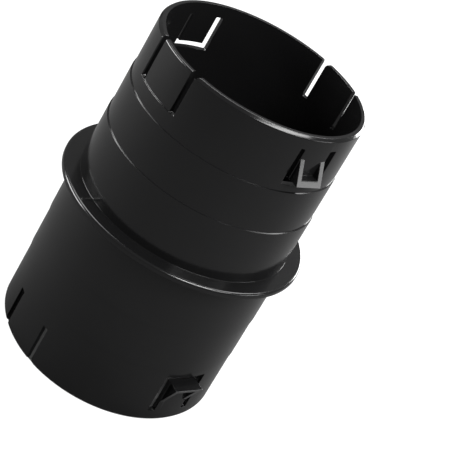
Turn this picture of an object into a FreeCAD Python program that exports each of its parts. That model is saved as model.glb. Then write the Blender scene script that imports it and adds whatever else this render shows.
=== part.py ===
import FreeCAD, Part

import math
import os

from FreeCAD import Vector

# Drain pipe adapter: one moulded tube with a flange between two ends of unlike size.
# A corrugated pipe is pushed over each end until it meets the flange, and barbed
# latches catch behind its ribs. Millimetres, +Z up along the axis, origin at the
# centre of the bottom rim. The latches face along X and the spring flaps along Y.

# Lengths along the axis
LOWER_LENGTH = 83.5
FLANGE_THICKNESS = 3.0
UPPER_LENGTH = 77.5
LOWER_COLLAR_LENGTH = 31.4
LOWER_MIDDLE_LENGTH = 22.2
UPPER_COLLAR_LENGTH = 27.8
UPPER_MIDDLE_LENGTH = 21.8

# Outer form: the radius at each rim grows or shrinks by the draft and steps at each band
LOWER_RIM_RADIUS = 55.15
LOWER_DRAFT_DEG = -1.2
LOWER_STEP = 0.3
UPPER_RIM_RADIUS = 50.0
UPPER_DRAFT_DEG = 1.3
UPPER_STEP = 0.5
FLANGE_LEDGE = 7.22
FLANGE_TOP_ROUND = 1.3
FLANGE_BOTTOM_ROUND = 0.5
RIM_BEVEL_IN = 0.9
RIM_BEVEL_DOWN = 1.3
STEP_SLOPE = 0.2

# Inner form: the bore has the outside's draft and lies one wall's thickness inside the collar
WALL = 2.7
SHOULDER_LENGTH = 1.6

# Spring flaps, cut free by two slits each. Widths are measured round the rim
FLAP_WIDTH = 22.7
FLAP_SLIT_WIDTH = 2.9
FLAP_RECESS = 0.5
SLIT_CORNER_ROUND = 1.2
RIM_CORNER_ROUND = 2.6
LOWER_FLAP_LENGTH = 20.8
UPPER_FLAP_LENGTH = 20.5

# Latches: a tongue in a window, with a hollow barb on its free end. Shifts are towards +Y
WINDOW_RIM_GAP = 6.2
LOWER_WINDOW_LENGTH = 21.8
UPPER_WINDOW_LENGTH = 18.2
LOWER_WINDOW_WIDTH = 22.9
UPPER_WINDOW_WIDTH = 20.5
LOWER_WINDOW_SHIFT = 0.35
UPPER_WINDOW_SHIFT = 0.0
LOWER_TONGUE_WIDTH = 16.1
UPPER_TONGUE_WIDTH = 14.7
LOWER_TONGUE_SHIFT = 0.5
UPPER_TONGUE_SHIFT = -0.9
TONGUE_END_GAP = 3.3
LOWER_BARB_LENGTH = 12.4
UPPER_BARB_LENGTH = 10.2
LOWER_BARB_HEIGHT = 5.2
UPPER_BARB_HEIGHT = 5.2
BARB_TOE_DROP = 0.4
BARB_INSET = 0.25
BARB_WALL = 2.5

# Witness rib of the mould's parting line, across the flange
RIB_WIDTH = 0.7
RIB_HEIGHT = 0.35

TOTAL_LENGTH = LOWER_LENGTH + FLANGE_THICKNESS + UPPER_LENGTH
FLANGE_TOP = LOWER_LENGTH + FLANGE_THICKNESS
CUT_MARGIN = 2.0
AXIS = Vector(0, 0, 1)
SAME_PLACE = 1e-6


class End:
    """One end of the adapter. Depth is measured from its rim towards the flange."""

    def __init__(self, rim_height, direction, rim_radius, draft_deg, step, bands, flap_length,
                 window_length, window_width, window_shift, tongue_width, tongue_shift,
                 barb_length, barb_height):
        self.rim_height = rim_height
        self.direction = direction
        self.rim_radius = rim_radius
        self.slope = math.tan(math.radians(draft_deg))
        self.step = step
        self.bands = bands
        self.flap_length = flap_length
        self.window_end = WINDOW_RIM_GAP + window_length
        self.window_sides = (window_shift - window_width / 2, window_shift + window_width / 2)
        self.tongue_sides = (tongue_shift - tongue_width / 2, tongue_shift + tongue_width / 2)
        self.barb_length = barb_length
        self.barb_height = barb_height

    def height(self, depth):
        return self.rim_height + self.direction * depth

    def outer_radius(self, depth, band=0):
        return self.rim_radius + depth * self.slope + band * self.step

    def inner_radius(self, depth):
        return self.rim_radius - WALL + depth * self.slope

    def root_radius(self):
        """Radius of the outer wall where it meets the flange."""
        return self.outer_radius(sum(self.bands), len(self.bands) - 1)

    def angle(self, along):
        """Angle in radians from +X of a place this far round the rim."""
        return along / self.rim_radius

    def cut_radii(self):
        """Radii that lie clear inside and clear outside the wall near the rim."""
        return self.inner_radius(0) - CUT_MARGIN, self.rim_radius + CUT_MARGIN

    def box(self, x_from, x_to, y_from, y_to, depth_from, depth_to):
        bottom = min(self.height(depth_from), self.height(depth_to))
        corner = Vector(x_from, y_from, bottom)
        return Part.makeBox(x_to - x_from, y_to - y_from, abs(depth_to - depth_from), corner)

    def wedge(self, start, stop, depth_from, depth_to):
        """A cutter with radial sides through the wall, between two places round the rim."""
        near, far = self.cut_radii()
        far /= math.cos(self.angle(stop - start) / 2)
        bottom = min(self.height(depth_from), self.height(depth_to))
        corners = [Vector(radius * math.cos(turn), radius * math.sin(turn), bottom)
                   for radius, turn in ((near, self.angle(start)), (far, self.angle(start)),
                                        (far, self.angle(stop)), (near, self.angle(stop)))]
        face = Part.Face(Part.makePolygon(corners + corners[:1]))
        return face.extrude(Vector(0, 0, abs(depth_to - depth_from)))


LOWER = End(rim_height=0.0, direction=1, rim_radius=LOWER_RIM_RADIUS, draft_deg=LOWER_DRAFT_DEG,
            step=LOWER_STEP, flap_length=LOWER_FLAP_LENGTH,
            bands=[LOWER_COLLAR_LENGTH, LOWER_MIDDLE_LENGTH,
                   LOWER_LENGTH - LOWER_COLLAR_LENGTH - LOWER_MIDDLE_LENGTH],
            window_length=LOWER_WINDOW_LENGTH, window_width=LOWER_WINDOW_WIDTH,
            window_shift=LOWER_WINDOW_SHIFT, tongue_width=LOWER_TONGUE_WIDTH,
            tongue_shift=LOWER_TONGUE_SHIFT, barb_length=LOWER_BARB_LENGTH, barb_height=LOWER_BARB_HEIGHT)
UPPER = End(rim_height=TOTAL_LENGTH, direction=-1, rim_radius=UPPER_RIM_RADIUS, draft_deg=UPPER_DRAFT_DEG,
            step=UPPER_STEP, flap_length=UPPER_FLAP_LENGTH,
            bands=[UPPER_COLLAR_LENGTH, UPPER_MIDDLE_LENGTH,
                   UPPER_LENGTH - UPPER_COLLAR_LENGTH - UPPER_MIDDLE_LENGTH],
            window_length=UPPER_WINDOW_LENGTH, window_width=UPPER_WINDOW_WIDTH,
            window_shift=UPPER_WINDOW_SHIFT, tongue_width=UPPER_TONGUE_WIDTH,
            tongue_shift=UPPER_TONGUE_SHIFT, barb_length=UPPER_BARB_LENGTH, barb_height=UPPER_BARB_HEIGHT)
FLANGE_RADIUS = (LOWER.root_radius() + UPPER.root_radius()) / 2 + FLANGE_LEDGE


def outer_points(end):
    """Radius and height of the outer wall's corners, from the rim to the flange."""
    points = [Vector(end.outer_radius(0) - RIM_BEVEL_IN, 0, end.height(0)),
              Vector(end.outer_radius(RIM_BEVEL_DOWN), 0, end.height(RIM_BEVEL_DOWN))]
    depth = 0.0
    for band, length in enumerate(end.bands[:-1]):
        depth += length
        points.append(Vector(end.outer_radius(depth, band), 0, end.height(depth)))
        points.append(Vector(end.outer_radius(depth, band + 1), 0, end.height(depth + STEP_SLOPE)))
    points.append(Vector(end.root_radius(), 0, end.height(sum(end.bands))))
    return points


def round_corner(corner, along, towards, radius):
    """Start, middle and end of the arc that rounds a right-angled corner."""
    centre = corner + (along + towards) * radius
    middle = centre - (along + towards).normalize() * radius
    return centre - towards * radius, middle, centre - along * radius


def wall_section():
    """The closed section of the whole wall, in the XZ plane."""
    inward, up = Vector(-1, 0, 0), Vector(0, 0, 1)
    low, high = outer_points(LOWER), outer_points(UPPER)
    bottom_arc = round_corner(Vector(FLANGE_RADIUS, 0, LOWER_LENGTH), inward, up, FLANGE_BOTTOM_ROUND)
    top_arc = round_corner(Vector(FLANGE_RADIUS, 0, FLANGE_TOP), inward, -up, FLANGE_TOP_ROUND)

    shoulder_from = LOWER_LENGTH + (FLANGE_THICKNESS - SHOULDER_LENGTH) / 2
    shoulder_to = shoulder_from + SHOULDER_LENGTH
    upper_bore_depth = TOTAL_LENGTH - shoulder_to
    inner = [Vector(UPPER.inner_radius(0), 0, TOTAL_LENGTH),
             Vector(UPPER.inner_radius(upper_bore_depth), 0, shoulder_to),
             Vector(LOWER.inner_radius(shoulder_from), 0, shoulder_from),
             Vector(LOWER.inner_radius(0), 0, 0)]

    edges = Part.makePolygon(low + [bottom_arc[0]]).Edges
    edges.append(Part.Arc(*bottom_arc).toShape())
    edges += Part.makePolygon([bottom_arc[2], top_arc[2]]).Edges
    edges.append(Part.Arc(*top_arc).toShape())
    edges += Part.makePolygon([top_arc[0]] + high[::-1] + inner + [low[0]]).Edges
    return Part.Face(Part.Wire(Part.__sortEdges__(edges)))


def with_mirror(shape, normal):
    """The shape and its mirror image in the plane through the axis with this normal."""
    return [shape, shape.mirror(Vector(0, 0, 0), normal)]


def radial_edges(cutter, angle, z):
    """The cutter's edges that run outwards at this angle and height."""
    return [edge for edge in cutter.Edges
            if all(abs(math.atan2(v.Y, v.X) - angle) + abs(v.Z - z) < SAME_PLACE for v in edge.Vertexes)]


def flap_cut(end, rounded_at):
    """Slits and shallow recess of the flap that faces along -Y, and the one rim corner it rounds."""
    half = FLAP_WIDTH / 2
    outer_half = half + FLAP_SLIT_WIDTH
    cuts = [corner_cut(end, rounded_at)]
    for side in (-1, 1):
        sides = sorted((side * half, side * outer_half))
        slit = end.wedge(*sides, -CUT_MARGIN, end.flap_length)
        closed_corner = radial_edges(slit, end.angle(side * outer_half), end.height(end.flap_length))
        cuts.append(slit.makeFillet(SLIT_CORNER_ROUND, closed_corner))

    ring = [Vector(end.outer_radius(depth) + extra, 0, end.height(depth))
            for depth, extra in ((-CUT_MARGIN, -FLAP_RECESS), (-CUT_MARGIN, CUT_MARGIN),
                                 (end.flap_length, CUT_MARGIN), (end.flap_length, -FLAP_RECESS))]
    shell = Part.Face(Part.makePolygon(ring + ring[:1])).revolve(Vector(0, 0, 0), AXIS, 360)
    sector = end.wedge(-outer_half, outer_half, -CUT_MARGIN, end.flap_length + CUT_MARGIN)
    cut = shell.common(sector).fuse(cuts)
    cut.rotate(Vector(0, 0, 0), AXIS, -90)
    return cut


def corner_cut(end, along):
    """What rounds the rim corner that starts at this place round the rim."""
    near, far = end.cut_radii()
    size = RIM_CORNER_ROUND
    block = end.box(near, far, -CUT_MARGIN, size, -CUT_MARGIN, size)
    drum = Part.makeCylinder(size, far - near, Vector(near, size, end.height(size)), Vector(1, 0, 0))
    cut = block.cut(drum)
    cut.rotate(Vector(0, 0, 0), AXIS, math.degrees(end.angle(along)))
    return cut


def window_cut(end):
    """The U-shaped window round the tongue that faces along +X."""
    slits = [end.wedge(*sorted(sides), WINDOW_RIM_GAP, end.window_end)
             for sides in zip(end.window_sides, end.tongue_sides)]
    gap = end.wedge(*end.window_sides, end.window_end - TONGUE_END_GAP, end.window_end)
    return gap.fuse(slits)


def barb(end):
    """Two ramped cheeks and a front wall on the free end of the +X tongue."""
    front = end.window_end - TONGUE_END_GAP
    toe = front - end.barb_length
    root = end.inner_radius(toe) + WALL / 2
    crest = end.outer_radius(front) + end.barb_height
    left, right = end.tongue_sides[0] + BARB_INSET, end.tongue_sides[1] - BARB_INSET
    profile = Part.makePolygon([Vector(root, left, end.height(toe)),
                                Vector(end.outer_radius(toe) - BARB_TOE_DROP, left, end.height(toe)),
                                Vector(crest, left, end.height(front)),
                                Vector(root, left, end.height(front)),
                                Vector(root, left, end.height(toe))])
    ramp = Part.Face(profile).extrude(Vector(0, right - left, 0))
    pocket = end.box(root, crest, left + BARB_WALL, right - BARB_WALL, toe, front - BARB_WALL)
    return ramp.cut(pocket)


def parting_rib():
    """A thin rib across the flange's top face, towards -Y."""
    inner = UPPER.root_radius() - RIB_HEIGHT
    length = FLANGE_RADIUS - FLANGE_TOP_ROUND - RIB_WIDTH - inner
    return Part.makeBox(RIB_WIDTH, length, 2 * RIB_HEIGHT,
                        Vector(-RIB_WIDTH / 2, -inner - length, FLANGE_TOP - RIB_HEIGHT))


def adapter():
    """The whole moulding."""
    across_x, across_y = Vector(1, 0, 0), Vector(0, 1, 0)
    collar_corner, flap_corner = FLAP_WIDTH / 2 + FLAP_SLIT_WIDTH, -FLAP_WIDTH / 2
    cuts, adds = [], with_mirror(parting_rib(), across_y)
    for end in (LOWER, UPPER):
        cuts.append(flap_cut(end, collar_corner))
        cuts.append(flap_cut(end, flap_corner).mirror(Vector(0, 0, 0), across_y))
        cuts += with_mirror(window_cut(end), across_x)
        adds += with_mirror(barb(end), across_x)
    body = wall_section().revolve(Vector(0, 0, 0), AXIS, 360)
    return body.cut(cuts).fuse(adds).removeSplitter()


os.makedirs("parts", exist_ok=True)
shape = adapter()
if len(shape.Solids) == 1:
    shape = shape.Solids[0]
shape.exportStep("parts/adapter_body.step")
print(f"adapter_body: {shape.ShapeType}, valid {shape.isValid()}, {round(shape.Volume / 1000, 1)} cm3")
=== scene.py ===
import logging
import math
from dataclasses import dataclass
from enum import Enum
from typing import Callable, Sequence

import bmesh
import bpy
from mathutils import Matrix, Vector


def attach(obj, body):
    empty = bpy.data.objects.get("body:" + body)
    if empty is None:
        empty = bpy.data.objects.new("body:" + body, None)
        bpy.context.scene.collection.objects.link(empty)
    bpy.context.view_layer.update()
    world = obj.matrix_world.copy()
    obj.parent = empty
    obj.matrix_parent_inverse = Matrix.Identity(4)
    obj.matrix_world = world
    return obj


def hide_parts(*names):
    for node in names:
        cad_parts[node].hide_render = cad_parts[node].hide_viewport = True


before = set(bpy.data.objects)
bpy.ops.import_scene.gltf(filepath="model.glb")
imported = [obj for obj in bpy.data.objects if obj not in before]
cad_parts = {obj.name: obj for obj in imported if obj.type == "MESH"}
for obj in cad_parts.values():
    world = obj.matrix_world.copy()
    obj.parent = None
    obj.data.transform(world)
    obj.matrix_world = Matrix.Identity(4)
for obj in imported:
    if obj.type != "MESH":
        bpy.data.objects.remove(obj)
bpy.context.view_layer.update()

# Looks of a drain pipe adapter: one black moulded tube with a flange between two ends.
# Sizes are in millimetres, in the frame of the CAD part, and mm() turns them into metres.

LOG = logging.getLogger("drain_pipe_adapter")
ORIGIN = (0.0, 0.0, 0.0)
BODY = "root"
NODE = "adapter_body"
SLOT = "black_plastic"

# How far a cutter runs past what it cuts, and how close two places count as the same
MARGIN = 2.0
SAME_PLACE = 0.01
SAME_ANGLE = 0.001


def mm(length: float) -> float:
    """Turns millimetres into metres.

    Args:
        length: A length in millimetres.

    Returns:
        The same length in metres.
    """
    return length * 0.001


class EndSide(Enum):
    """The two ends of the adapter, by the way their depth runs along Z."""

    LOWER = 1
    UPPER = -1


class Join(Enum):
    """How one solid is combined with another."""

    CUT = "DIFFERENCE"
    FUSE = "UNION"


class Across(Enum):
    """The plane through the axis that a copy is mirrored in, by the scale that does it."""

    YZ_PLANE = (-1, 1, 1)
    XZ_PLANE = (1, -1, 1)


@dataclass(frozen=True)
class EndSizes:
    """Sizes of one end, with depths measured from its rim towards the flange."""

    side: EndSide
    rim_height: float
    rim_radius: float
    draft_deg: float
    step: float
    bands: tuple[float, float, float]
    flap_length: float
    window_length: float
    window_width: float
    window_shift: float
    tongue_width: float
    tongue_shift: float
    barb_length: float
    barb_height: float

    def height(self, depth: float) -> float:
        """Height above the bottom rim at a depth from this end's rim."""
        return self.rim_height + self.side.value * depth

    def radius(self, depth: float, band: int = 0) -> float:
        """Radius of the outer wall at a depth, on one of the three bands."""
        return self.rim_radius + depth * math.tan(math.radians(self.draft_deg)) + band * self.step

    def angle(self, along: float) -> float:
        """Angle in radians from +X of a place this far round the rim."""
        return along / self.rim_radius

    @property
    def length(self) -> float:
        """Distance from the rim to the flange."""
        return sum(self.bands)

    @property
    def window_sides(self) -> tuple[float, float]:
        """Where the window starts and stops round the rim."""
        return self.window_shift - self.window_width / 2, self.window_shift + self.window_width / 2

    @property
    def tongue_sides(self) -> tuple[float, float]:
        """Where the tongue starts and stops round the rim."""
        return self.tongue_shift - self.tongue_width / 2, self.tongue_shift + self.tongue_width / 2


@dataclass(frozen=True)
class Moulding:
    """Sizes that both ends share."""

    wall: float = 2.7
    shoulder: float = 1.6
    flange_radius: float = 60.6
    flange_thickness: float = 3.0
    flange_top_round: float = 1.3
    flange_bottom_round: float = 0.5
    rim_bevel_in: float = 0.9
    rim_bevel_down: float = 1.3
    step_slope: float = 0.2
    flap_width: float = 22.7
    flap_slit: float = 2.9
    flap_recess: float = 0.5
    slit_round: float = 1.2
    corner_round: float = 2.6
    window_gap: float = 6.2
    window_round: float = 0.45
    tongue_gap: float = 3.3
    barb_toe_drop: float = 0.4
    barb_inset: float = 0.25
    barb_wall: float = 2.5
    rib_width: float = 0.7
    rib_height: float = 0.35
    edge_round: float = 0.22

    def cutter_span(self, end: EndSizes) -> tuple[float, float]:
        """Where a cutter through the wall near a rim starts and stops along X."""
        return end.rim_radius - self.wall - 3 * MARGIN, end.rim_radius + MARGIN


@dataclass(frozen=True)
class MeshQuality:
    """How finely the mesh is divided, cleaned and shaded, with distances in millimetres."""

    columns: int = 256
    flange_bottom_steps: int = 3
    flange_top_steps: int = 6
    slit_segments: int = 6
    window_segments: int = 3
    corner_points: int = 48
    edge_segments: int = 2
    merge_after_boolean: float = 0.005
    merge_before_rounding: float = 0.02
    merge_after_rounding: float = 0.01
    ledge_margin: float = 0.1
    rounded_above_deg: float = 25.0
    smooth_below_deg: float = 40.0


LOWER = EndSizes(EndSide.LOWER, rim_height=0.0, rim_radius=55.15, draft_deg=-1.2, step=0.3,
                 bands=(31.4, 22.2, 29.9), flap_length=20.8, window_length=21.8, window_width=22.9,
                 window_shift=0.35, tongue_width=16.1, tongue_shift=0.5, barb_length=12.4, barb_height=5.2)
UPPER = EndSizes(EndSide.UPPER, rim_height=164.0, rim_radius=50.0, draft_deg=1.3, step=0.5,
                 bands=(27.8, 21.8, 27.9), flap_length=20.5, window_length=18.2, window_width=20.5,
                 window_shift=0.0, tongue_width=14.7, tongue_shift=-0.9, barb_length=10.2, barb_height=5.2)
MESH = MeshQuality()


def pick(piece: bpy.types.Object, *others: bpy.types.Object) -> None:
    """Selects these pieces alone, with the first one active.

    Args:
        piece: The piece that operators act on.
        others: Pieces to select with it.
    """
    bpy.ops.object.select_all(action="DESELECT")
    for each in (piece, *others):
        each.select_set(True)
    bpy.context.view_layer.objects.active = piece


def start_editing(piece: bpy.types.Object) -> None:
    """Opens a piece in edit mode with nothing selected.

    Args:
        piece: The piece to edit.
    """
    pick(piece)
    bpy.ops.object.mode_set(mode="EDIT")
    bpy.ops.mesh.select_mode(type="VERT")
    bpy.ops.mesh.select_all(action="DESELECT")


def stop_editing() -> None:
    """Goes back to object mode."""
    bpy.ops.object.mode_set(mode="OBJECT")


def choose_edges(piece: bpy.types.Object, wanted: Callable[[bmesh.types.BMEdge], bool]) -> None:
    """Selects edges of the piece in edit mode.

    Args:
        piece: The piece that is being edited.
        wanted: Test that says whether an edge is to be selected.
    """
    bpy.ops.mesh.select_mode(type="EDGE")
    bpy.ops.mesh.select_all(action="DESELECT")
    mesh = bmesh.from_edit_mesh(piece.data)
    for edge in mesh.edges:
        edge.select_set(wanted(edge))
    bmesh.update_edit_mesh(piece.data)


def choose_points(piece: bpy.types.Object, wanted: Callable[[Vector], bool]) -> None:
    """Selects vertices of the piece in edit mode.

    Args:
        piece: The piece that is being edited.
        wanted: Test on a vertex's place, in millimetres.
    """
    bpy.ops.mesh.select_mode(type="VERT")
    bpy.ops.mesh.select_all(action="DESELECT")
    mesh = bmesh.from_edit_mesh(piece.data)
    for point in mesh.verts:
        point.select_set(wanted(point.co * 1000.0))
    mesh.select_flush_mode()
    bmesh.update_edit_mesh(piece.data)


def block(name: str, low: Sequence[float], high: Sequence[float]) -> bpy.types.Object:
    """Adds a block between two corners, with its place in its mesh.

    Args:
        name: The block's name.
        low: Its lowest corner, in millimetres.
        high: Its highest corner, in millimetres.

    Returns:
        The new block.
    """
    bpy.ops.object.select_all(action="DESELECT")
    bpy.ops.mesh.primitive_cube_add(size=1.0, location=[mm((a + b) / 2) for a, b in zip(low, high)])
    piece = bpy.context.active_object
    piece.name = name
    piece.scale = [mm(b - a) for a, b in zip(low, high)]
    bpy.ops.object.transform_apply(location=True, rotation=False, scale=True)
    return piece


def end_block(name: str, end: EndSizes, x_span: Sequence[float], y_span: Sequence[float],
              depth_span: Sequence[float]) -> bpy.types.Object:
    """Adds a block whose height is given as depths from an end's rim.

    Args:
        name: The block's name.
        end: The end that it belongs to.
        x_span: Where it starts and stops along X.
        y_span: Where it starts and stops along Y.
        depth_span: Where it starts and stops below the rim.

    Returns:
        The new block.
    """
    heights = sorted(end.height(depth) for depth in depth_span)
    return block(name, (x_span[0], y_span[0], heights[0]), (x_span[1], y_span[1], heights[1]))


def combine(piece: bpy.types.Object, tool: bpy.types.Object, how: Join) -> None:
    """Cuts a tool out of a piece or fuses it on, deletes the tool and merges what almost meets.

    Args:
        piece: The piece that is kept.
        tool: The solid that is used up.
        how: Whether the tool is cut out or fused on.
    """
    pick(piece)
    step = piece.modifiers.new(how.name.lower(), "BOOLEAN")
    step.operation = how.value
    step.solver = "EXACT"
    step.object = tool
    bpy.ops.object.modifier_apply(modifier=step.name)
    bpy.data.objects.remove(tool, do_unlink=True)
    start_editing(piece)
    bpy.ops.mesh.select_all(action="SELECT")
    bpy.ops.mesh.remove_doubles(threshold=mm(MESH.merge_after_boolean))
    stop_editing()


def join(pieces: Sequence[bpy.types.Object]) -> bpy.types.Object:
    """Joins pieces into the first one, as one mesh.

    Args:
        pieces: The pieces to join.

    Returns:
        The first piece, which now holds them all.
    """
    pick(*pieces)
    bpy.ops.object.join()
    return pieces[0]


def turn(piece: bpy.types.Object, angle: float) -> bpy.types.Object:
    """Turns a piece about the tube's axis.

    Args:
        piece: The piece to turn.
        angle: The turn in radians, from +X towards +Y.

    Returns:
        The same piece, with the turn in its mesh.
    """
    pick(piece)
    piece.rotation_euler.z = angle
    bpy.ops.object.transform_apply(location=False, rotation=True, scale=False)
    return piece


def mirrored(piece: bpy.types.Object, across: Across) -> bpy.types.Object:
    """Mirrors a piece in a plane through the tube's axis, with its faces still outwards.

    Args:
        piece: The piece to mirror.
        across: The plane of the mirror.

    Returns:
        The same piece, now on the far side.
    """
    start_editing(piece)
    bpy.ops.mesh.select_all(action="SELECT")
    bpy.ops.transform.resize(value=across.value, center_override=ORIGIN)
    bpy.ops.mesh.normals_make_consistent(inside=False)
    stop_editing()
    return piece


def with_mirror(piece: bpy.types.Object, across: Across) -> bpy.types.Object:
    """Joins a piece with its mirror image on the far side of the tube.

    Args:
        piece: The piece on one side.
        across: The plane of the mirror.

    Returns:
        The same piece, which now holds both.
    """
    pick(piece)
    bpy.ops.object.duplicate()
    return join([piece, mirrored(bpy.context.active_object, across)])


def wedge(name: str, end: EndSizes, x_span: Sequence[float], sides: Sequence[float],
          depth_span: Sequence[float]) -> bpy.types.Object:
    """Adds a cutter towards +X whose two sides are radial.

    Args:
        name: The cutter's name.
        end: The end that it belongs to.
        x_span: Where it starts and stops along X.
        sides: Where it starts and stops round the rim.
        depth_span: Where it starts and stops below the rim.

    Returns:
        The new cutter.
    """
    near, far = x_span
    piece = end_block(name, end, x_span, [far * math.tan(end.angle(side)) for side in sides], depth_span)
    start_editing(piece)
    choose_points(piece, lambda at: abs(at.x - near) < SAME_PLACE)
    bpy.ops.transform.resize(value=(1.0, near / far, 1.0), center_override=ORIGIN)
    stop_editing()
    return piece


def ring_solid(name: str, rings: Sequence[tuple[float, float]]) -> bpy.types.Object:
    """Makes a closed solid of revolution by extruding a circle from ring to ring.

    Args:
        name: The solid's name.
        rings: Radius and height of each ring of the closed section, in order.

    Returns:
        The new solid.
    """
    bpy.ops.object.select_all(action="DESELECT")
    radius, height = rings[0]
    bpy.ops.mesh.primitive_circle_add(vertices=MESH.columns, radius=mm(radius), location=(0, 0, mm(height)))
    piece = bpy.context.active_object
    piece.name = name
    bpy.ops.object.transform_apply(location=True, rotation=False, scale=False)
    bpy.ops.object.mode_set(mode="EDIT")
    bpy.ops.mesh.select_mode(type="EDGE")
    bpy.ops.mesh.select_all(action="SELECT")
    for (near, low), (far, high) in zip(rings, rings[1:]):
        bpy.ops.mesh.extrude_region_move(TRANSFORM_OT_translate={"value": (0, 0, mm(high - low))})
        bpy.ops.transform.resize(value=(far / near, far / near, 1.0), center_override=ORIGIN)
    choose_edges(piece, lambda edge: edge.is_boundary)
    bpy.ops.mesh.bridge_edge_loops()
    bpy.ops.mesh.select_all(action="SELECT")
    bpy.ops.mesh.normals_make_consistent(inside=False)
    stop_editing()
    return piece


def arc(centre: tuple[float, float], radius: float, start_deg: float, stop_deg: float,
        steps: int) -> list[tuple[float, float]]:
    """Points of an arc in the section, from one angle to another.

    Args:
        centre: Radius and height of the arc's centre.
        radius: The arc's radius.
        start_deg: Angle of its first point, from the outward direction.
        stop_deg: Angle of its last point.
        steps: How many runs it is divided into.

    Returns:
        Radius and height of each point.
    """
    points = []
    for step in range(steps + 1):
        angle = math.radians(start_deg + (stop_deg - start_deg) * step / steps)
        points.append((centre[0] + radius * math.cos(angle), centre[1] + radius * math.sin(angle)))
    return points


@dataclass(frozen=True)
class TubeWall:
    """The revolved wall, with its stepped bands, its flange and its plain bore."""

    sizes: Moulding
    lower: EndSizes
    upper: EndSizes

    def outside(self, end: EndSizes) -> list[tuple[float, float]]:
        """Rings of one end's outer wall, from its rim to the flange.

        Args:
            end: The end of the tube.

        Returns:
            Radius and height of each ring.
        """
        sizes = self.sizes
        rings = [(end.radius(0) - sizes.rim_bevel_in, end.height(0)),
                 (end.radius(sizes.rim_bevel_down), end.height(sizes.rim_bevel_down))]
        depth = 0.0
        for band, length in enumerate(end.bands[:-1]):
            depth += length
            rings.append((end.radius(depth, band), end.height(depth)))
            rings.append((end.radius(depth, band + 1), end.height(depth + sizes.step_slope)))
        rings.append((end.radius(end.length, len(end.bands) - 1), end.height(end.length)))
        return rings

    def flange(self) -> list[tuple[float, float]]:
        """Rings of the flange's rounded rim, from its underside to its top.

        Returns:
            Radius and height of each ring.
        """
        sizes = self.sizes
        bottom = self.lower.height(self.lower.length)
        top = self.upper.height(self.upper.length)
        low, high = sizes.flange_bottom_round, sizes.flange_top_round
        return (arc((sizes.flange_radius - low, bottom + low), low, -90, 0, MESH.flange_bottom_steps)
                + arc((sizes.flange_radius - high, top - high), high, 0, 90, MESH.flange_top_steps))

    def bore(self) -> list[tuple[float, float]]:
        """Rings of the bore, from the upper rim down to the lower one.

        Returns:
            Radius and height of each ring.
        """
        sizes = self.sizes
        shoulder_low = self.lower.length + (sizes.flange_thickness - sizes.shoulder) / 2
        shoulder_high = shoulder_low + sizes.shoulder
        return [(self.upper.radius(0) - sizes.wall, self.upper.rim_height),
                (self.upper.radius(self.upper.rim_height - shoulder_high) - sizes.wall, shoulder_high),
                (self.lower.radius(shoulder_low) - sizes.wall, shoulder_low),
                (self.lower.radius(0) - sizes.wall, 0.0)]

    def build(self) -> bpy.types.Object:
        """Extrudes the whole wall.

        Returns:
            The closed wall, not yet cut.
        """
        rings = self.outside(self.lower) + self.flange() + self.outside(self.upper)[::-1] + self.bore()
        return ring_solid("adapter_shell", rings)


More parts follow.
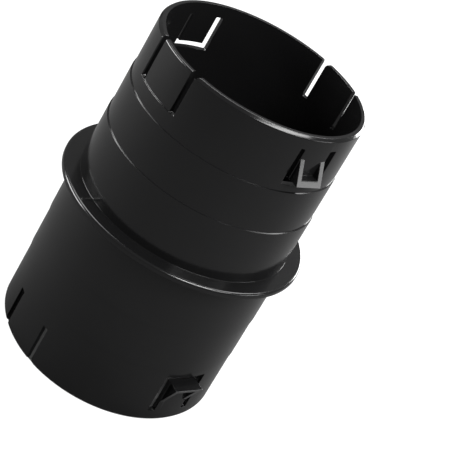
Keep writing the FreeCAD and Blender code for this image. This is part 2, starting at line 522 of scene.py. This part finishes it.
@dataclass(frozen=True)
class SpringFlaps:
    """The slits, shallow recesses and rounded corners of one end's two spring flaps.

    Each cutter is modelled towards +X and then turned towards -Y.
    """

    sizes: Moulding
    end: EndSizes

    @property
    def edge(self) -> float:
        """Half the flap's width, round the rim."""
        return self.sizes.flap_width / 2

    @property
    def outer_edge(self) -> float:
        """Where the slit beside the flap stops, round the rim."""
        return self.edge + self.sizes.flap_slit

    def recess(self) -> bpy.types.Object:
        """Models the thin shell that is cut away from the flap's outside.

        Returns:
            The cutter.
        """
        end, sizes = self.end, self.sizes
        depths = (-MARGIN, end.flap_length)
        near = [(end.radius(depth) - sizes.flap_recess, end.height(depth)) for depth in depths]
        far = [(end.radius(depth) + MARGIN, end.height(depth)) for depth in depths[::-1]]
        shell = ring_solid("flap_recess", near + far)
        half = end.angle(self.outer_edge)
        start_editing(shell)
        for side in (-1, 1):
            bpy.ops.mesh.select_all(action="SELECT")
            bpy.ops.mesh.bisect(plane_co=ORIGIN, plane_no=(-math.sin(half), side * math.cos(half), 0),
                                clear_outer=True, use_fill=True)
        stop_editing()
        return shell

    def slit(self, side: int) -> bpy.types.Object:
        """Models one slit, with the far corner of its closed end rounded.

        Args:
            side: Which side of the flap it runs down, -1 or 1.

        Returns:
            The cutter.
        """
        end, sizes = self.end, self.sizes
        cutter = wedge("flap_slit", end, sizes.cutter_span(end),
                       sorted((side * self.edge, side * self.outer_edge)), (-MARGIN, end.flap_length))
        angle, height = end.angle(side * self.outer_edge), end.height(end.flap_length)
        start_editing(cutter)
        choose_edges(cutter, lambda edge: all(
            abs(math.atan2(point.co.y, point.co.x) - angle) < SAME_ANGLE
            and abs(point.co.z * 1000 - height) < SAME_PLACE for point in edge.verts))
        bpy.ops.mesh.bevel(offset=mm(sizes.slit_round), segments=MESH.slit_segments, affect="EDGES")
        stop_editing()
        return cutter

    def corner(self, along: float) -> bpy.types.Object:
        """Models what is cut away to round one corner of the rim.

        Args:
            along: Where the corner is, round the rim. The rounding runs from there towards +Y.

        Returns:
            The cutter.
        """
        end, size = self.end, self.sizes.corner_round
        near, far = self.sizes.cutter_span(end)
        cutter = end_block("rim_corner", end, (near, far), (-MARGIN / 2, size), (-MARGIN, size))
        bpy.ops.object.select_all(action="DESELECT")
        bpy.ops.mesh.primitive_cylinder_add(
            vertices=MESH.corner_points, radius=mm(size), depth=mm(far - near + MARGIN),
            location=(mm((near + far) / 2), mm(size), mm(end.height(size))), rotation=(0, math.pi / 2, 0))
        drum = bpy.context.active_object
        bpy.ops.object.transform_apply(location=True, rotation=True, scale=True)
        combine(cutter, drum, Join.CUT)
        return turn(cutter, end.angle(along))

    def cut(self, wall: bpy.types.Object) -> None:
        """Cuts both flaps of this end free from the wall.

        Args:
            wall: The wall that is cut.
        """
        quarter = -math.pi / 2
        slits = join([self.slit(-1), self.slit(1)])
        for cutter in (self.recess(), slits):
            combine(wall, with_mirror(turn(cutter, quarter), Across.XZ_PLANE), Join.CUT)
        collar_corner = turn(self.corner(self.outer_edge), quarter)
        flap_corner = mirrored(turn(self.corner(-self.edge), quarter), Across.XZ_PLANE)
        combine(wall, join([collar_corner, flap_corner]), Join.CUT)


@dataclass(frozen=True)
class SnapLatches:
    """The windows, tongues and hollow barbs of one end's two latches."""

    sizes: Moulding
    end: EndSizes

    def span(self) -> tuple[float, float]:
        """Depths of the window's far end and of the tongue's free end."""
        stop = self.sizes.window_gap + self.end.window_length
        return stop, stop - self.sizes.tongue_gap

    def window(self) -> bpy.types.Object:
        """Models the U-shaped opening round the tongue that faces +X.

        Returns:
            The cutter.
        """
        end, sizes = self.end, self.sizes
        stop, front = self.span()
        near, far = sizes.cutter_span(end)
        opening = wedge("latch_window", end, (near, far), end.window_sides, (sizes.window_gap, stop))
        tongue = wedge("latch_tongue", end, (near - 1, far + 1), end.tongue_sides,
                       (sizes.window_gap - MARGIN, front))
        combine(opening, tongue, Join.CUT)
        start_editing(opening)
        choose_edges(opening, lambda edge: abs((edge.verts[0].co - edge.verts[1].co).normalized().x) > 0.9)
        bpy.ops.mesh.bevel(offset=mm(sizes.window_round), segments=MESH.window_segments, affect="EDGES")
        stop_editing()
        return opening

    def barb(self) -> bpy.types.Object:
        """Models the ramp on the tongue's free end, hollowed into two cheeks and a front wall.

        Returns:
            The barb that faces +X.
        """
        end, sizes = self.end, self.sizes
        _, front = self.span()
        toe = front - end.barb_length
        left, right = end.tongue_sides[0] + sizes.barb_inset, end.tongue_sides[1] - sizes.barb_inset
        root = end.radius(toe) - sizes.wall / 2
        crest = end.radius(front) + end.barb_height
        ramp = end_block("latch_barb", end, (root, crest), (left, right), (toe, front))
        toe_height = end.height(toe)
        start_editing(ramp)
        choose_points(ramp, lambda at: at.x > root + SAME_PLACE and abs(at.z - toe_height) < SAME_PLACE)
        drop = end.radius(toe) - sizes.barb_toe_drop - crest
        bpy.ops.transform.translate(value=(mm(drop), 0, 0))
        stop_editing()
        pocket = end_block("barb_pocket", end, (root - 1, crest + 1),
                           (left + sizes.barb_wall, right - sizes.barb_wall),
                           (toe - 1, front - sizes.barb_wall))
        combine(ramp, pocket, Join.CUT)
        return ramp

    def cut(self, wall: bpy.types.Object) -> None:
        """Opens both windows of this end."""
        combine(wall, with_mirror(self.window(), Across.YZ_PLANE), Join.CUT)

    def fuse(self, wall: bpy.types.Object) -> None:
        """Adds both barbs of this end."""
        combine(wall, with_mirror(self.barb(), Across.YZ_PLANE), Join.FUSE)


@dataclass(frozen=True)
class AdapterBody:
    """The whole moulding as one piece, with every edge slightly rounded."""

    sizes: Moulding
    lower: EndSizes
    upper: EndSizes

    def parting_rib(self) -> bpy.types.Object:
        """Models the thin rib across the flange's top, towards -Y.

        Returns:
            The rib.
        """
        sizes = self.sizes
        inner = self.upper.radius(self.upper.length, 2) - sizes.rib_height
        outer = sizes.flange_radius - sizes.flange_top_round - sizes.rib_width
        top = self.upper.height(self.upper.length)
        return block("parting_rib", (-sizes.rib_width / 2, -outer, top - sizes.rib_height),
                     (sizes.rib_width / 2, -inner, top + sizes.rib_height))

    def on_ledge(self, edge: bmesh.types.BMEdge) -> bool:
        """Tells whether an edge lies along one of the thin ledges between two bands.

        Args:
            edge: An edge of the body.

        Returns:
            True where both ends of the edge are on the same ledge.
        """
        reach = self.sizes.step_slope + MESH.ledge_margin
        return any(all(abs(point.co.z * 1000 - end.height(depth)) < reach for point in edge.verts)
                   for end in (self.lower, self.upper) for depth in (end.bands[0], sum(end.bands[:2])))

    def round_edges(self, piece: bpy.types.Object) -> None:
        """Cleans the mesh and rounds each edge that turns sharply, but leaves the thin ledges crisp.

        Args:
            piece: The cut and fused body.
        """
        start_editing(piece)
        bpy.ops.mesh.select_all(action="SELECT")
        bpy.ops.mesh.remove_doubles(threshold=mm(MESH.merge_before_rounding))
        bpy.ops.mesh.normals_make_consistent(inside=False)
        sharp = math.radians(MESH.rounded_above_deg)
        choose_edges(piece, lambda edge: edge.is_manifold and edge.calc_face_angle(0.0) > sharp
                     and not self.on_ledge(edge))
        bpy.ops.mesh.bevel(offset=mm(self.sizes.edge_round), segments=MESH.edge_segments, affect="EDGES",
                           clamp_overlap=False, loop_slide=True)
        bpy.ops.mesh.select_all(action="SELECT")
        bpy.ops.mesh.remove_doubles(threshold=mm(MESH.merge_after_rounding))
        stop_editing()

    def build(self) -> bpy.types.Object:
        """Models the body and puts it in the place of the CAD node.

        Returns:
            The finished piece.
        """
        body = TubeWall(self.sizes, self.lower, self.upper).build()
        for end in (self.lower, self.upper):
            SpringFlaps(self.sizes, end).cut(body)
            SnapLatches(self.sizes, end).cut(body)
        for end in (self.lower, self.upper):
            SnapLatches(self.sizes, end).fuse(body)
        combine(body, with_mirror(self.parting_rib(), Across.XZ_PLANE), Join.FUSE)
        self.round_edges(body)
        pick(body)
        bpy.ops.object.shade_smooth_by_angle(angle=math.radians(MESH.smooth_below_deg))
        step = body.modifiers.new("even_normals", "WEIGHTED_NORMAL")
        step.keep_sharp = True
        bpy.ops.object.modifier_apply(modifier=step.name)
        body.name = "adapter_moulding"
        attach(body, BODY)
        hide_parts(NODE)
        return body


@dataclass(frozen=True)
class BlackPlastic:
    """Satin black moulded plastic with a fine, slightly uneven surface."""

    colour_low: tuple[float, float, float, float] = (0.0058, 0.0058, 0.0060, 1.0)
    colour_high: tuple[float, float, float, float] = (0.0082, 0.0082, 0.0084, 1.0)
    roughness_low: float = 0.13
    roughness_high: float = 0.19
    mottle_scale: float = 38.0
    mottle_detail: float = 3.0
    grain_scale: float = 1400.0
    grain_detail: float = 2.0
    grain_strength: float = 0.04
    grain_height: float = 0.0002

    def noise(self, tree: bpy.types.NodeTree, scale: float, detail: float) -> bpy.types.Node:
        """Adds a noise texture on object coordinates.

        Args:
            tree: The material's nodes.
            scale: How fine the noise is.
            detail: How many finer layers it has.

        Returns:
            The noise node.
        """
        place = tree.nodes.new("ShaderNodeTexCoord")
        noise = tree.nodes.new("ShaderNodeTexNoise")
        noise.inputs["Scale"].default_value = scale
        noise.inputs["Detail"].default_value = detail
        tree.links.new(place.outputs["Object"], noise.inputs["Vector"])
        return noise

    def spread(self, tree: bpy.types.NodeTree, source: bpy.types.NodeSocket, low: float,
               high: float) -> bpy.types.NodeSocket:
        """Maps a value from 0 to 1 onto a range.

        Args:
            tree: The material's nodes.
            source: The socket that gives the value.
            low: What 0 becomes.
            high: What 1 becomes.

        Returns:
            The socket that gives the result.
        """
        mapping = tree.nodes.new("ShaderNodeMapRange")
        mapping.inputs["To Min"].default_value = low
        mapping.inputs["To Max"].default_value = high
        tree.links.new(source, mapping.inputs["Value"])
        return mapping.outputs["Result"]

    def build(self) -> bpy.types.Material:
        """Makes the material.

        Returns:
            The finished material.
        """
        material = bpy.data.materials.new(SLOT)
        material.use_nodes = True
        tree = material.node_tree
        shader = tree.nodes["Principled BSDF"]
        mottle = self.noise(tree, self.mottle_scale, self.mottle_detail)
        grain = self.noise(tree, self.grain_scale, self.grain_detail)
        tint = tree.nodes.new("ShaderNodeMix")
        tint.data_type = "RGBA"
        tint.inputs["A"].default_value = self.colour_low
        tint.inputs["B"].default_value = self.colour_high
        tree.links.new(mottle.outputs["Fac"], tint.inputs["Factor"])
        tree.links.new(tint.outputs["Result"], shader.inputs["Base Color"])
        tree.links.new(self.spread(tree, mottle.outputs["Fac"], self.roughness_low, self.roughness_high),
                       shader.inputs["Roughness"])
        bump = tree.nodes.new("ShaderNodeBump")
        bump.inputs["Strength"].default_value = self.grain_strength
        bump.inputs["Distance"].default_value = self.grain_height
        tree.links.new(grain.outputs["Fac"], bump.inputs["Height"])
        tree.links.new(bump.outputs["Normal"], shader.inputs["Normal"])
        return material


@dataclass(frozen=True)
class SoftLamp:
    """A rectangular studio lamp that faces a point on the part."""

    name: str
    place: tuple[float, float, float]
    target: tuple[float, float, float]
    width: float
    height: float
    power: float

    def build(self) -> bpy.types.Object:
        """Adds the lamp.

        Returns:
            The lamp's object.
        """
        data = bpy.data.lights.new(self.name, "AREA")
        data.shape = "RECTANGLE"
        data.size = self.width
        data.size_y = self.height
        data.energy = self.power
        lamp = bpy.data.objects.new(self.name, data)
        bpy.context.collection.objects.link(lamp)
        lamp.location = self.place
        lamp.rotation_euler = (Vector(self.target) - Vector(self.place)).to_track_quat("-Z", "Y").to_euler()
        return lamp


@dataclass(frozen=True)
class Studio:
    """The floor and world, the lamps and the camera."""

    floor_half: float = 6.0
    floor_drop: float = 0.0003
    floor_roughness: float = 0.9
    floor_colour: float = 0.13
    floor_glow: float = 0.97
    # Painted shade: inside this radius the floor's camera glow is left out, so the floor under the tube's
    # bore shows dim.
    bore_shade_radius: float = 0.0535
    world_light: float = 0.12
    world_in_gloss: float = 0.2
    camera_place: tuple[float, float, float] = (0.344487, -0.374689, 0.372155)
    camera_turn_deg: tuple[float, float, float] = (56.4765, -27.1801, 56.4364)
    lens: float = 97.3006
    sensor_width: float = 36.0
    nearest: float = 0.01
    lamp_target: tuple[float, float, float] = (0.0, 0.0, 0.1)

    def floor(self) -> bpy.types.Object:
        """Adds the floor, white to the camera except under the part's bore, where it is left dim as painted
        shade inside the tube.

        Returns:
            The floor.
        """
        bpy.ops.object.select_all(action="DESELECT")
        bpy.ops.mesh.primitive_plane_add(size=2 * self.floor_half, location=(0, 0, -self.floor_drop))
        floor = bpy.context.active_object
        floor.name = "studio_floor"
        material = bpy.data.materials.new("white_floor")
        material.use_nodes = True
        tree = material.node_tree
        shader = tree.nodes["Principled BSDF"]
        shader.inputs["Base Color"].default_value = (*[self.floor_colour] * 3, 1.0)
        shader.inputs["Roughness"].default_value = self.floor_roughness
        shader.inputs["Specular IOR Level"].default_value = 0.0
        # Painted shade: the camera glow is switched off inside the bore's radius, so the floor seen down
        # the tube stays dark.
        place = tree.nodes.new("ShaderNodeTexCoord")
        distance = tree.nodes.new("ShaderNodeVectorMath")
        distance.operation = "LENGTH"
        tree.links.new(place.outputs["Object"], distance.inputs["Vector"])
        outside = tree.nodes.new("ShaderNodeMath")
        outside.operation = "GREATER_THAN"
        outside.inputs[1].default_value = self.bore_shade_radius
        tree.links.new(distance.outputs["Value"], outside.inputs[0])
        ray = tree.nodes.new("ShaderNodeLightPath")
        seen = tree.nodes.new("ShaderNodeMath")
        seen.operation = "MULTIPLY"
        tree.links.new(ray.outputs["Is Camera Ray"], seen.inputs[0])
        tree.links.new(outside.outputs["Value"], seen.inputs[1])
        glow = self.raised(tree, seen.outputs["Value"], self.floor_glow)
        glow.inputs[2].default_value = 0.0
        shader.inputs["Emission Color"].default_value = (1.0, 1.0, 1.0, 1.0)
        tree.links.new(glow.outputs["Value"], shader.inputs["Emission Strength"])
        floor.data.materials.append(material)
        return floor

    def world(self) -> None:
        """Makes the world white to the camera, pale in reflections and dimmer as a light."""
        world = bpy.data.worlds.new("studio_world")
        bpy.context.scene.world = world
        world.use_nodes = True
        tree = world.node_tree
        ray = tree.nodes.new("ShaderNodeLightPath")
        level = self.raised(tree, ray.outputs["Is Glossy Ray"], self.world_in_gloss - self.world_light)
        level.inputs[2].default_value = self.world_light
        to_camera = self.raised(tree, ray.outputs["Is Camera Ray"], 1.0 - self.world_light)
        tree.links.new(level.outputs["Value"], to_camera.inputs[2])
        background = tree.nodes["Background"]
        background.inputs["Color"].default_value = (1.0, 1.0, 1.0, 1.0)
        tree.links.new(to_camera.outputs["Value"], background.inputs["Strength"])

    def raised(self, tree: bpy.types.NodeTree, ray: bpy.types.NodeSocket, amount: float) -> bpy.types.Node:
        """Adds a node that raises a level, its third input, by an amount for one kind of ray.

        Args:
            tree: The nodes of a material or of the world.
            ray: The socket that is 1 for that kind of ray.
            amount: How much the level rises.

        Returns:
            The new node.
        """
        node = tree.nodes.new("ShaderNodeMath")
        node.operation = "MULTIPLY_ADD"
        node.inputs[1].default_value = amount
        tree.links.new(ray, node.inputs[0])
        return node

    def lamps(self) -> None:
        """Adds the soft lamps."""
        for name, place, width, height, power in (
                ("key_panel", (0.5, 0.03, 0.84), 0.4, 0.15, 5.0),
                ("back_panel", (-0.29, 0.31, 1.0), 1.3, 0.55, 15.0),
                ("rim_panel", (0.6, 0.02, 0.64), 0.7, 0.12, 3.6),
                ("left_panel", (-0.45, -0.44, 0.2), 0.4, 0.28, 4.4),
                ("barb_panel", (0.51, 0.445, 0.27), 0.25, 0.16, 0.6),
                ("right_panel", (-0.12, 0.57, 0.18), 0.3, 0.2, 2.6)):
            SoftLamp(name, place, self.lamp_target, width, height, power).build()

    def camera(self) -> bpy.types.Object:
        """Adds the camera at the photograph's viewing angle.

        Returns:
            The camera.
        """
        data = bpy.data.cameras.new("photo_camera")
        data.lens = self.lens
        data.sensor_width = self.sensor_width
        data.clip_start = self.nearest
        camera = bpy.data.objects.new("photo_camera", data)
        bpy.context.collection.objects.link(camera)
        camera.location = self.camera_place
        camera.rotation_euler = [math.radians(angle) for angle in self.camera_turn_deg]
        bpy.context.scene.camera = camera
        return camera

    def build(self) -> None:
        """Sets up everything round the part."""
        self.floor()
        self.world()
        self.lamps()
        self.camera()
        bpy.context.scene.view_settings.view_transform = "Standard"


def main() -> None:
    """Builds the studio and the part, and reports each piece."""
    logging.basicConfig(level=logging.INFO, format="%(name)s: %(message)s")
    Studio().build()
    LOG.info("studio ready")
    body = AdapterBody(Moulding(), LOWER, UPPER).build()
    body.data.materials.clear()
    body.data.materials.append(BlackPlastic().build())
    LOG.info("%s: %d faces", body.name, len(body.data.polygons))


if __name__ == "__main__":
    main()
